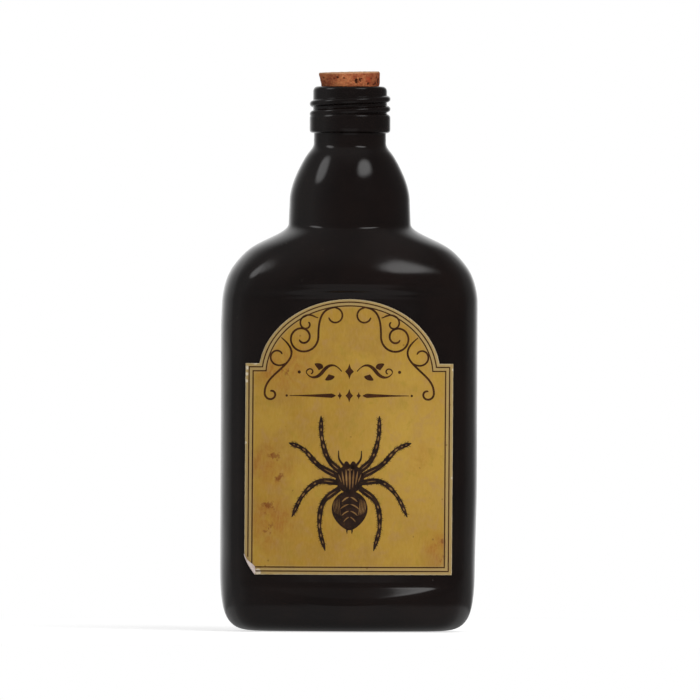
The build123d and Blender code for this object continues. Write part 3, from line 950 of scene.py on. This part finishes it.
class Print:
    """Thin raised shapes on the paper, gathered into one piece."""

    def __init__(self, lift=INK):
        self.verts, self.faces, self.lift = [], [], lift

    def solid(self, top, faces):
        """Add a plate: its top points (x, z) and its top faces."""
        base = len(self.verts)
        for depth in (self.lift, -INK_DEPTH):
            self.verts += [on_paper(x, z, depth) for x, z in top]
        self.faces += [tuple(base + i for i in face) for face in closed_sheet(faces, len(top))]

    def line(self, points, widths, closed=False):
        points = np.array(points, float)
        n = len(points)
        before, after = (points[-1:], points[:1]) if closed else (points[:1], points[-1:])
        first = np.vstack([points[1:], after]) - points
        second = points - np.vstack([before, points[:-1]])
        normal = square_to(unit(unit(first) + unit(second)))
        # At a corner the line keeps its width along both runs
        straight = np.abs(np.sum(normal * square_to(unit(first)), axis=1))
        straight = np.clip(np.where(straight > 1e-6, straight, 1.0), 0.5, 1.0)
        half = (np.broadcast_to(widths, n) / 2 / straight)[:, None]
        ends = [(i, (i + 1) % n) for i in range(n if closed else n - 1)]
        self.solid(np.vstack([points + normal * half, points - normal * half]),
                   [(n + i, n + k, k, i) for i, k in ends])

    def stroke(self, points, width, thin, blunt):
        """A pen stroke that swells from its ends."""
        t = np.linspace(0, 1, len(points))
        body = np.minimum(1, np.minimum(t, 1 - t) / blunt)
        self.line(points, width * (thin + (1 - thin) * np.sin(body * math.pi / 2)))

    def blob(self, outline, centre, rings):
        """A filled shape, drawn as rings from its middle so that it follows the glass."""
        outline, centre = np.array(outline, float), np.array(centre, float)
        n = len(outline)
        top = [centre] + [p for k in range(rings) for p in centre + (outline - centre) * (k + 1)
                          / rings]
        turns = [(j, (j + 1) % n) for j in range(n)]
        faces = [(0, 1 + j, 1 + k) for j, k in turns]
        for a in range(1, 1 + (rings - 1) * n, n):
            faces += [(a + j, a + n + j, a + n + k, a + k) for j, k in turns]
        self.solid(top, faces)

    def egg(self, x, z, half_x, up, down, rings, point=0.0, count=40):
        """A filled egg; point draws its lower end in."""
        outline = []
        for a in np.linspace(0, 2 * math.pi, count, endpoint=False):
            tall = up if math.sin(a) > 0 else down
            pull = 1 - point * max(0.0, -math.sin(a)) ** 2
            outline.append((x + half_x * math.cos(a) * pull, z + tall * math.sin(a)))
        self.blob(outline, (x, z), rings)

    def diamond(self, x, z, half_x, half_z):
        waist = ((1, 0), (1 / 3, 1 / 2.4), (0, 1), (-1 / 3, 1 / 2.4))
        self.blob([(x + half_x * turn * a, z + half_z * turn * b)
                   for turn in (1, -1) for a, b in waist], (x, z), 2)

    def piece(self, name, material):
        make_piece(name, self.verts, self.faces, "aged_paper", [material], smooth=False)


def along(corners, gap=1.2):
    """Points along straight runs, close enough to follow the glass."""
    points = []
    for a, b in zip(corners, corners[1:]):
        count = max(1, round(math.dist(a, b) / gap))
        points += [tuple(np.array(a) + (np.array(b) - np.array(a)) * k / count)
                   for k in range(count)]
    return points + [tuple(corners[-1])]


def curl(centre, start_r, end_r, start, end, bend=1.0):
    """A spiral about a centre; angles in degrees."""
    t = np.linspace(0, 1, max(12, int(abs(end - start) / 7)))
    angle, radius = np.radians(start + (end - start) * t), start_r + (end_r - start_r) * t**bend
    return [(centre[0] + r * math.cos(a), centre[1] + r * math.sin(a))
            for a, r in zip(angle, radius)]


def placed(points, side, x=0.0, z=0.0):
    """Points drawn about (0, 0), moved to (x, z), and mirrored where side is -1."""
    return [(x + side * a, z + b) for a, b in points]


def border():
    """Two lines round the label; the outer one stops at the folded corner."""
    lines = Print()
    for inset, inset_top in BORDER_INSETS:
        half_x, low, top = LABEL_HALF - inset, LABEL_Z + inset, LABEL_SIDE_TOP - inset
        across, height = ARCH_HALF - inset, ARCH_HEIGHT - inset_top
        start = math.asin((top - ARCH_Z) / height)
        arch = [(-across * math.cos(a), ARCH_Z + height * math.sin(a))
                for a in np.linspace(start, math.pi - start, 90)]
        path = along([(-half_x, low), (-half_x, top), arch[0]])[:-1] + arch
        path += along([arch[-1], (half_x, top), (half_x, low), (-half_x, low)])[1:-1]
        kept = [(x, z) for x, z in path
                if z > LABEL_Z + EAR_HEIGHT or x + LABEL_HALF > ear_cut(z) + BORDER_FOLD_GAP]
        lines.line(kept, BORDER_WIDTH, closed=len(kept) == len(path))
    return lines


def scrolls():
    lines = Print()
    drawn = (
        # A curl under the crown of the arch
        (curl((-5.0, 107.1), 2.75, 2.2, 95, -165, 0.7), 0.62),
        # The big volute and its stem
        (sweep((-5.0, 109.85), (-8.6, 109.6), (-10.6, 107.6), (-10.6, 100.6), 20)
         + curl((-16.0, 99.6), 5.45, 1.2, 9, -510)[1:], 0.7),
        # A tendril over the volute
        (curl((-14.6, 104.3), 4.4, 0.8, 28, 410, 0.5), 0.6),
        # The long S that hangs down to the side
        (sweep((-23.2, 99.7), (-18.9, 96.2), (-18.7, 93.8), (-21.6, 90.7), 14)
         + sweep((-21.6, 90.7), (-25.2, 86.9), (-28.6, 85.2), (-28.7, 80.9), 14)[1:]
         + curl((-26.5, 80.5), 2.25, 1.0, 170, 470, 0.8)[1:], 0.7),
        # The side volute
        (curl((-24.3, 93.3), 3.9, 1.6, -32, -335, 0.6), 0.62),
    )
    for points, width in drawn:
        for side in (1, -1):
            lines.stroke(placed(points, side), width, 0.5, 0.08)
    return lines


def divider():
    """Two plain typographer's rules, in the place where a label is usually lettered."""
    rules = Print()
    high, low = RULES_Z
    wave = sweep((2.6, 0), (5.0, 3.2), (7.2, 2.4), (9.0, 0))
    wave += sweep((9.0, 0), (10.8, -2.6), (13.4, -2.6), (14.6, -0.4))[1:]
    swell = 0.35 + 0.85 * np.sin(np.linspace(0, math.pi, len(wave))) ** 2
    leaves = (([(7.0, -0.9), (8.2, -2.9), (6.2, -2.9), (5.0, -1.7)], (6.6, -2.1)),
              ([(10.4, 0.4), (11.8, 2.6), (9.6, 2.6), (8.9, 1.3)], (10.1, 1.8)))
    t = np.linspace(0, 1, 24)
    taper = 0.25 + 1.4 * (1 - t) ** 1.4 * np.minimum(1, t / 0.08)
    rules.diamond(0, high, 1.5, 2.7)
    rules.diamond(0, low, 1.3, 2.3)
    for side in (1, -1):
        # Upper row: facing scrolls that end in leaves
        rules.line(placed(wave, side, z=high), swell)
        rules.stroke(placed(curl((13.2, -0.2), 1.45, 0.55, -8, 260, 0.8), side, z=high),
                     0.5, 0.5, 0.1)
        for leaf, middle in leaves:
            rules.blob(placed(through(leaf + leaf[:1], 6)[:-1], side, z=high),
                       *placed([middle], side, z=high), 2)
        rules.egg(side * 17.0, high - 0.2, 0.55, 0.55, 0.55, 2, count=16)
        # Lower row: a swelled rule, broken by small diamonds
        rules.diamond(side * 3.2, low, 0.75, 1.3)
        rules.line([(side * (4.6 + 15.6 * s), low) for s in t], taper)
        rules.egg(side * 21.2, low, 0.42, 0.42, 0.42, 2, count=16)
    return rules


# Body joint, knee, ankle and tip of each leg of one side
LEGS = (((-3.0, 54.2), (-7.4, 58.6), (-9.6, 65.8), (-9.9, 73.2)),
        ((-3.9, 52.6), (-10.6, 56.4), (-15.8, 61.8), (-20.8, 64.0)),
        ((-4.1, 50.6), (-10.6, 50.8), (-15.9, 46.2), (-19.6, 38.8)),
        ((-3.5, 48.6), (-9.0, 43.8), (-10.2, 35.6), (-8.2, 27.4)))
# Pale lights down the middle of each joint: from and to, in shares of the leg, and width
LEG_LIGHTS = ((0.07, 0.24, 0.3), (0.37, 0.44, 0.55), (0.5, 0.56, 0.6), (0.62, 0.69, 0.6),
              (0.75, 0.8, 0.5), (0.86, 0.9, 0.4))
# Rays on the front body: x, foot, head, width
RAYS = ((0.0, 48.2, 55.6, 0.7), (1.15, 48.9, 55.0, 0.6), (2.3, 49.8, 54.4, 0.55),
        (3.3, 50.6, 53.4, 0.35))


def spider_leg(dark, pale, path, pick):
    t = np.linspace(0, 1, len(path))
    swell = 0.3 * np.sin(t * math.pi * 3) ** 2
    widths = (1.95 - 0.95 * t + swell) * np.sqrt(np.clip((1.0 - t) / 0.08, 0.04, 1))
    dark.line(path, widths)
    points = np.array(path)
    # Fine hairs along both sides
    for i in range(3, len(path) - 2):
        heading = unit(points[i + 1] - points[i])
        for hand in (1, -1):
            if pick.uniform() < 0.45:
                continue
            outward = square_to(heading) * hand
            root = points[i] + outward * widths[i] * 0.42
            reach = 0.42 + pick.uniform(0, 0.3)
            tip = root + outward * reach + heading * reach * 0.8
            dark.line([root, (root + tip) / 2, tip], [0.24, 0.17, 0.06])
    for low, high, wide in LEG_LIGHTS:
        first, last = (round(share * (len(path) - 1)) for share in (low, high))
        pale.stroke(path[first:last + 1], wide, 0.15, 0.5)


def spider():
    """A plain spider: its dark body and legs, and the pale marks on them."""
    dark, pale, pick = Print(), Print(PALE_INK), np.random.RandomState(5)
    middle = SPIDER_X
    for side in (1, -1):
        for joints in LEGS:
            spider_leg(dark, pale, through(placed(joints, side, middle), 14), pick)
        # Feelers, jaws and spinnerets
        feeler = through(placed(((1.5, 55.6), (3.6, 58.4), (3.9, 61.4)), side, middle), 8)
        dark.line(feeler, np.linspace(1.0, 0.3, len(feeler)))
        dark.egg(middle + side * 1.15, 56.3, 0.95, 1.5, 1.2, 3)
        dark.line(placed(((0.7, 35.2), (0.9, 34.2), (0.8, 33.2)), side, middle), [0.7, 0.5, 0.2])
        # Rays on the front body, chevrons and hatching on the hind body, and the eyes
        for x, low, high, width in RAYS if side > 0 else RAYS[1:]:
            ray = [(x * (0.84 + 0.32 * s), low + (high - low) * s) for s in np.linspace(0, 1, 8)]
            pale.stroke(placed(ray, side, middle), width, 0.15, 0.5)
        for k, (z, wide) in enumerate(((45.6, 2.6), (43.2, 3.1), (40.9, 2.7), (38.8, 2.0))):
            mark = sweep((0.25, z), (wide * 0.4, z - 0.1), (wide * 0.8, z - 0.9), (wide, z - 1.6), 8)
            pale.stroke(placed(mark, side, middle), 0.46 - 0.04 * k, 0.2, 0.4)
        for x in (3.2, 3.7, 4.2, 4.7, 5.2):
            reach = 3.6 * math.sqrt(max(0.05, 1 - ((x - 0.2) / 6.0) ** 2))
            hatch = [(x + 0.35 * math.cos(s * 2), 42.2 + reach * (0.9 - 1.8 * s))
                     for s in np.linspace(0, 1, 10)]
            pale.stroke(placed(hatch, side, middle), 0.26 if side > 0 else 0.14, 0.3, 0.4)
        pale.egg(middle + side * 0.55, 54.9, 0.24, 0.24, 0.24, 1, count=10)
    dark.egg(middle, 51.6, 4.8, 5.2, 4.8, 5, 0.15)
    dark.egg(middle, 41.6, 6.1, 6.2, 7.2, 7, 0.3)
    return dark, pale


brown_ink = ink("brown_ink", (58, 30, 10), (78, 44, 16), 0.4)
border().piece("print_border", brown_ink)
scrolls().piece("print_scrolls", brown_ink)
divider().piece("print_rules", brown_ink)
spider_dark, spider_pale = spider()
spider_dark.piece("print_spider", ink("black_ink", (34, 22, 18), (56, 36, 26), 0.35))
spider_pale.piece("print_spider_marks", ink("tan_ink", (122, 86, 48), (160, 122, 72), 0.3))


# Surroundings

# Angle to the right of straight behind the object in degrees, brightness in a reflection
BACKDROP = (
    (-180, 0.09), (-150, 0.11), (-125, 0.18), (-101, 0.27), (-76, 0.21), (-62, 0.17), (-50, 0.2),
    (-42, 0.29), (-32, 0.44), (-18, 0.74), (-8, 0.9), (0, 0.95), (8, 0.8), (17, 0.56), (23, 0.3),
    (32, 0.14), (50, 0.085), (80, 0.08), (180, 0.09),
)
OVERHEAD = 0.2
ROOM = 0.3
FLOOR_GREY = 0.86
FLOOR_LIFT = 0.62
FLOOR_MIRROR = 0.95
# The least that the floor shines in the glass, ahead and beside, and its level under the foot
MIRROR_AHEAD = 0.27
MIRROR_BESIDE = 0.11
MIRROR_FOOT = 0.05
# Distances from the object's middle between which the foot's shade ends, the floor beside it
# grows dim in the glass, and the floor turns white
FOOT_SHADE = (0.018, 0.052)
DIM_BESIDE = (0.07, 0.1)
FLOOR_WHITE = (0.12, 0.4)
# Name, azimuth, elevation, distance, width, height, power, and whether a mirror shows it
LAMPS = (("softbox_right", 43.5, 51, 1.1, 0.7, 0.34, 1.75, True),
         ("softbox_left", -78, 43, 1.1, 0.5, 0.6, 1.6, True),
         ("fill_front", 28, 28, 2.4, 2.2, 2.2, 68.0, False))
LAMP_TARGET = Vector((0, 0, 0.11))
CAMERA_LENS = 1210.1
CAMERA_BACK = 8000.0
CAMERA_X = 0.28
CAMERA_Z = 95.5
CAMERA_ROLL = math.radians(0.216)


def grey(level):
    return (level, level, level, 1)


def surroundings(nodes, direction):
    """What a mirror sees: a pale backdrop behind the object and a dim room before it."""
    x, y, z = nodes.new("SeparateXYZ", {"Vector": direction}).outputs
    angle = nodes.math("ARCTAN2", x, y)
    share = nodes.math("ADD", nodes.math("DIVIDE", angle, 2 * math.pi), 0.5, clamp=True)
    ramp = nodes.new("ValToRGB", {"Fac": share})
    stops = ramp.color_ramp.elements
    for i, (at, level) in enumerate(BACKDROP):
        place = at / 360 + 0.5
        stop = stops[i] if i < 2 else stops.new(place)
        stop.position = place
        stop.color = grey(level)
    return nodes.mix(nodes.span(z, 0.75, 0.97), ramp.outputs[0], grey(OVERHEAD))


def make_world():
    world = bpy.data.worlds.new("studio")
    world.use_nodes = True
    bpy.context.scene.world = world
    nodes = Nodes(world.node_tree)
    ray = nodes.new("LightPath").outputs
    direction = nodes.new("TexCoord").outputs["Generated"]
    tone = nodes.mix(ray["Is Glossy Ray"], grey(ROOM), surroundings(nodes, direction))
    white = nodes.math("MAXIMUM", ray["Is Camera Ray"], ray["Is Transmission Ray"])
    tone = nodes.mix(white, tone, grey(1))
    background = nodes.new("Background", {"Color": tone, "Strength": 1.0})
    nodes.new("OutputWorld", {"Surface": background.outputs[0]})


def floor_material():
    material, nodes, place = new_material("studio_floor")
    ray = nodes.new("LightPath").outputs
    away = nodes.vector("LENGTH", place)
    # Under the foot and close to it the mirrored floor lies in the object's own shade
    foot = nodes.vector("LENGTH", nodes.stretch(place, (1.0, HALF_WIDTH / HALF_DEPTH, 1.0)))
    # Further off the room is lit mainly straight in front of the object
    back = nodes.new("SeparateXYZ", {"Vector": place}).outputs[1]
    beside = nodes.span(nodes.math("DIVIDE", back, away), -0.975, -0.86)
    beside = nodes.math("MULTIPLY", beside, nodes.span(away, *DIM_BESIDE))
    least = nodes.mix(beside, grey(MIRROR_AHEAD), grey(MIRROR_BESIDE))
    shown = nodes.mix(1.0, surroundings(nodes, place), least, "LIGHTEN")
    shown = nodes.mix(nodes.span(foot, *FOOT_SHADE), grey(MIRROR_FOOT), shown)
    plain = nodes.new("BsdfDiffuse", {"Color": grey(FLOOR_GREY)}).outputs[0]
    mirror, lift, white = (
        nodes.new("Emission", {"Color": tone, "Strength": strength}).outputs[0]
        for tone, strength in ((shown, FLOOR_MIRROR), (grey(1), FLOOR_LIFT), (grey(1), 1.0)))
    # Near the object the floor keeps its shadow; further off it is as white as the backdrop
    shaded = nodes.new("AddShader", {0: plain, 1: lift}).outputs[0]
    seen = nodes.either(nodes.span(away, *FLOOR_WHITE), shaded, white)
    seen = nodes.either(ray["Is Camera Ray"], plain, seen)
    seen = nodes.either(ray["Is Glossy Ray"], seen, mirror)
    nodes.new("OutputMaterial", {"Surface": seen})
    return material


def make_floor():
    grid = bmesh.new()
    bmesh.ops.create_grid(grid, x_segments=8, y_segments=8, size=4.0)
    mesh = bpy.data.meshes.new("studio_floor")
    grid.to_mesh(mesh)
    grid.free()
    mesh.materials.append(floor_material())
    floor = add_object("studio_floor", mesh)
    floor.location = (0, 0, -0.0002)


def add_lamp(name, azimuth, elevation, distance, width, height, power, in_mirror):
    """A softbox, dimmer to its rim; azimuth 0 is in front, and grows to the right."""
    a, e = math.radians(azimuth), math.radians(elevation)
    back = Vector((math.sin(a) * math.cos(e), -math.cos(a) * math.cos(e), math.sin(e)))
    data = bpy.data.lights.new(name, "AREA")
    data.shape = "RECTANGLE"
    data.size, data.size_y, data.energy = width, height, power
    data.use_nodes = True
    nodes = Nodes(data.node_tree)
    across = nodes.new("NewGeometry").outputs["Parametric"]
    off = nodes.vector("DISTANCE", across, (0.5, 0.5, 0))
    glow = nodes.new("Emission", {"Strength": nodes.span(off, 0.22, 0.5, 1.0, 0.0)})
    nodes.new("OutputLight", {"Surface": glow.outputs[0]})
    lamp = add_object(name, data)
    lamp.location = LAMP_TARGET + back * distance
    lamp.rotation_mode = "QUATERNION"
    lamp.rotation_quaternion = back.to_track_quat("Z", "Y")
    lamp.visible_glossy = in_mirror


def add_camera():
    """Level with the middle of the object, eight metres off, with a slight roll."""
    data = bpy.data.cameras.new("camera")
    data.lens, data.sensor_width = CAMERA_LENS, 36.0
    camera = add_object("camera", data)
    c, s = math.cos(CAMERA_ROLL), math.sin(CAMERA_ROLL)
    camera.matrix_world = Matrix(((c, -s, 0, CAMERA_X * MM), (0, 0, -1, -CAMERA_BACK * MM),
                                  (s, c, 0, CAMERA_Z * MM), (0, 0, 0, 1)))
    bpy.context.scene.camera = camera


make_world()
make_floor()
for lamp_row in LAMPS:
    add_lamp(*lamp_row)
add_camera()
bpy.context.scene.view_settings.view_transform = "Standard"
